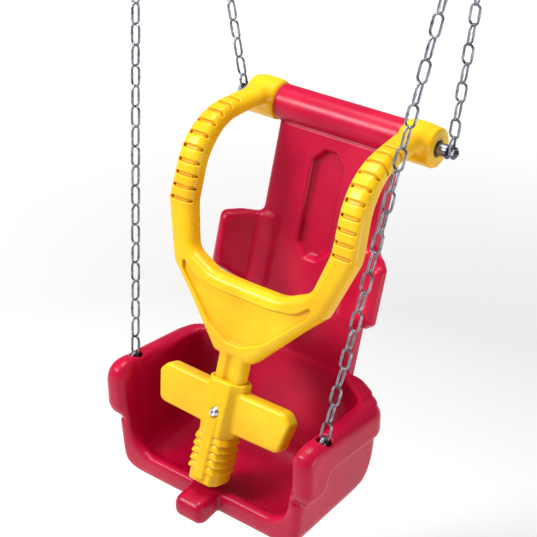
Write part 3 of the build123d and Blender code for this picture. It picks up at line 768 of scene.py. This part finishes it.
# ---- build the pieces ----
sculpt("seat", seat_field, (-216, -114, -212), (216, 352, 404), 3.2, RED, "swing", "seat_shell")
sculpt("harness", harness_field, (-186, -56, -90), (186, 352, 406), 1.8, YELLOW, "harness",
       "harness_frame")
sculpt("latch", latch_field, (-140, -100, -156), (140, 60, 64), 1.4, YELLOW, "latch", "t_handle")
for side, sign in (("left", 1), ("right", -1)):
    chain(f"front_links_{side}", (sign * ARM_X, 0, 0), (sign * (HANGER_X + SPREAD), MEET_Y, MEET_Z),
          FRONT_LINKS, 0, False, f"front_chain_{side}")
    chain(f"rear_links_{side}", (sign * REAR_CHAIN_X, AXLE_Y, AXLE_Z - ROD_D / 2),
          (sign * (HANGER_X - SPREAD), MEET_Y, MEET_Z), REAR_LINKS, 90, True, f"rear_chain_{side}")

spring = coil("stem_spring", BOLT_Z + BOLT_D / 2 + SPRING_WIRE / 2, SPRING_LENGTH - SPRING_WIRE,
              SPRING_R, SPRING_WIRE, SPRING_TURNS, "harness", "t_handle_spring")
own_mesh(spring)

FINISHES = {"galvanised_steel": ZINC, "bright_steel": BRIGHT, "black_nylon": NYLON,
            "moulded_red": RED, "moulded_yellow": YELLOW}
SLOTS = {part["node"]: part["material_slot"] for part in frame["record"]["subparts"]}
for node, piece in NODES.items():
    material = FINISHES[SLOTS[node]]
    if node in ("axle_washers", "axle_cap_nuts"):
        material = DARK
    piece.data.materials.clear()
    piece.data.materials.append(material)


# ---- floor, light and camera ----
def floor():
    """Pale floor under the swing that glows further out, so that the background is light."""
    mesh = bpy.data.meshes.new("floor")
    mesh.from_pydata([(-30, -30, 0), (30, -30, 0), (30, 30, 0), (-30, 30, 0)], [], [(0, 1, 2, 3)])
    plane = bpy.data.objects.new("floor", mesh)
    plane.location.z = CAD_BOX[0][2] - 0.40
    material, tree, shader = new_material("floor")
    tree.links.new(ramp(tree, noise(tree, 0.6), (0.2, (0.80, 0.80, 0.80)), (0.8, (0.86, 0.86, 0.86))),
                   shader.inputs["Base Color"])
    shader.inputs["Roughness"].default_value = 0.9
    shader.inputs["Emission Color"].default_value = (1.0, 1.0, 1.0, 1.0)
    coords = tree.nodes.new("ShaderNodeTexCoord")
    reach = tree.nodes.new("ShaderNodeVectorMath")
    reach.operation = "LENGTH"
    tree.links.new(coords.outputs["Object"], reach.inputs[0])
    tree.links.new(spread(tree, reach.outputs["Value"], 0.16, 0.80, 1.4, 3.4),
                   shader.inputs["Emission Strength"])
    mesh.materials.append(material)
    bpy.context.scene.collection.objects.link(plane)


def area_light(name, place, target, size, power):
    """Soft rectangular lamp aimed at a point."""
    light = bpy.data.lights.new(name, "AREA")
    light.shape = "RECTANGLE"
    light.size, light.size_y = size
    light.energy = power
    lamp = bpy.data.objects.new(name, light)
    lamp.location = place
    aim = Vector(target) - Vector(place)
    lamp.rotation_euler = aim.to_track_quat("-Z", "Y").to_euler()
    bpy.context.scene.collection.objects.link(lamp)


def studio():
    """Pale surroundings, a key light ahead, a low fill on the side and a light above."""
    world = bpy.data.worlds.new("studio")
    world.use_nodes = True
    background = world.node_tree.nodes["Background"]
    background.inputs["Color"].default_value = (1.0, 1.0, 1.0, 1.0)
    background.inputs["Strength"].default_value = 0.24
    bpy.context.scene.world = world
    seat = (0.0, 0.0, -1.25)
    area_light("key", (-1.5, -2.1, 0.6), seat, (0.9, 0.9), 80)
    area_light("fill", (2.0, 0.1, -1.45), (0.1, 0.0, -1.40), (1.2, 0.5), 13)
    area_light("top", (-0.3, -0.1, 0.8), seat, (1.0, 1.0), 42)


def camera():
    """Camera set out in the seat frame and hung with the seat."""
    turn, drop = radians(37.3), radians(30.7)
    right = Vector((cos(turn), sin(turn), 0))
    forward = Vector((-sin(turn) * cos(drop), cos(turn) * cos(drop), -sin(drop)))
    up = right.cross(forward)
    pose = Matrix((right, up, -forward)).transposed().to_4x4()
    pose.translation = (1.1235, -1.3617, 1.2811)
    data = bpy.data.cameras.new("camera")
    data.lens, data.sensor_width = 91.8, 36.0
    data.clip_end = 60
    view = bpy.data.objects.new("camera", data)
    view.matrix_world = HANG @ pose
    bpy.context.scene.collection.objects.link(view)
    bpy.context.scene.camera = view


floor()
studio()
camera()
bpy.context.scene.view_settings.view_transform = "Standard"
